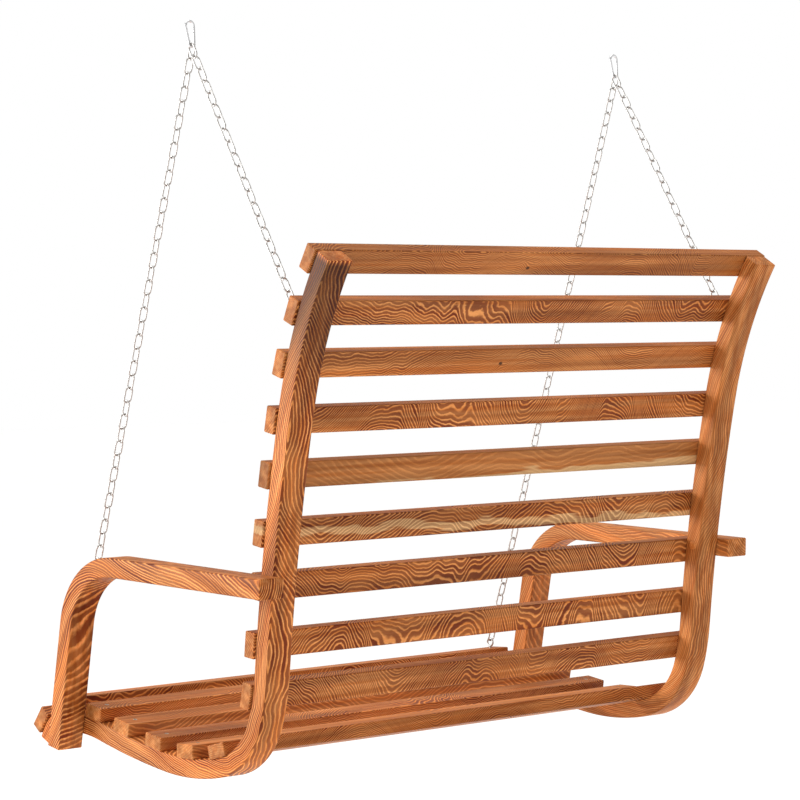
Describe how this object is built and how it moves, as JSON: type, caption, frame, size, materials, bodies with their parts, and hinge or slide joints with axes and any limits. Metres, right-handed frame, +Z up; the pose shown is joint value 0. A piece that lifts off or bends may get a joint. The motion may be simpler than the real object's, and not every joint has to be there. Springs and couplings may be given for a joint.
{
  "type": "porch swing seat",
  "caption": "Slatted wooden two-seat porch swing on bent side frames with looped armrests, hung by chains from two snap hooks.",
  "frame": {"origin": "midway between the two snap hooks, on the line where their top bows bear on what they hang from", "axes": "+Z up, -Y to the front, the way a sitter faces, +X to the sitter's left, along the slats"},
  "size_m": [1.26, 0.91, 1.357],
  "materials": {
    "slat_wood": "satin oil, strong dark grain",
    "frame_wood": "satin oil, straight grain along the bend",
    "arm_wood": "satin oil, straight grain along the bend",
    "plug_wood": "satin oil",
    "chain_steel": "bright galvanized",
    "eye_steel": "bright galvanized",
    "hook_steel": "bright galvanized",
    "gate_steel": "bright galvanized",
    "screw_steel": "zinc plated"
  },
  "bodies": {
    "hangers": {"snap_hook_left": "hook_steel", "snap_hook_right": "hook_steel", "gate_pin_left": "hook_steel", "gate_pin_right": "hook_steel"},
    "bench": {"side_frame_left": "frame_wood", "side_frame_right": "frame_wood", "armrest_left": "arm_wood", "armrest_right": "arm_wood", "back_slat_1": "slat_wood", "back_slat_2": "slat_wood", "back_slat_3": "slat_wood", "back_slat_4": "slat_wood", "back_slat_5": "slat_wood", "back_slat_6": "slat_wood", "back_slat_7": "slat_wood", "back_slat_8": "slat_wood", "back_slat_9": "slat_wood", "seat_slat_1": "slat_wood", "seat_slat_2": "slat_wood", "seat_slat_3": "slat_wood", "seat_slat_4": "slat_wood", "seat_slat_5": "slat_wood", "seat_slat_6": "slat_wood", "seat_slat_7": "slat_wood", "back_slat_screws": "screw_steel", "seat_slat_screws": "screw_steel", "arm_bolts": "screw_steel", "arm_plugs": "plug_wood", "eye_screw_back_left": "eye_steel", "eye_screw_back_right": "eye_steel", "eye_screw_front_left": "eye_steel", "eye_screw_front_right": "eye_steel", "chain_back_left": "chain_steel", "chain_back_right": "chain_steel", "chain_front_left": "chain_steel", "chain_front_right": "chain_steel"},
    "gate_left": {"snap_gate_left": "gate_steel"},
    "gate_right": {"snap_gate_right": "gate_steel"}
  },
  "joints": [
    {"name": "swing", "type": "hinge", "parent": "hangers", "child": "bench", "pos_m": [0, 0, -0.0425], "axis": [1, 0, 0], "range_deg": [-30, 30]},
    {"name": "gate_left", "type": "hinge", "parent": "hangers", "child": "gate_left", "pos_m": [0.5526, 0, -0.034], "axis": [0, -1, 0], "range_deg": [0, 26], "stiffness_Nm_per_rad": 0.02, "springref_deg": -11.46},
    {"name": "gate_right", "type": "hinge", "parent": "hangers", "child": "gate_right", "pos_m": [-0.5454, 0, -0.034], "axis": [0, -1, 0], "range_deg": [0, 26], "stiffness_Nm_per_rad": 0.02, "springref_deg": -11.46}
  ]
}
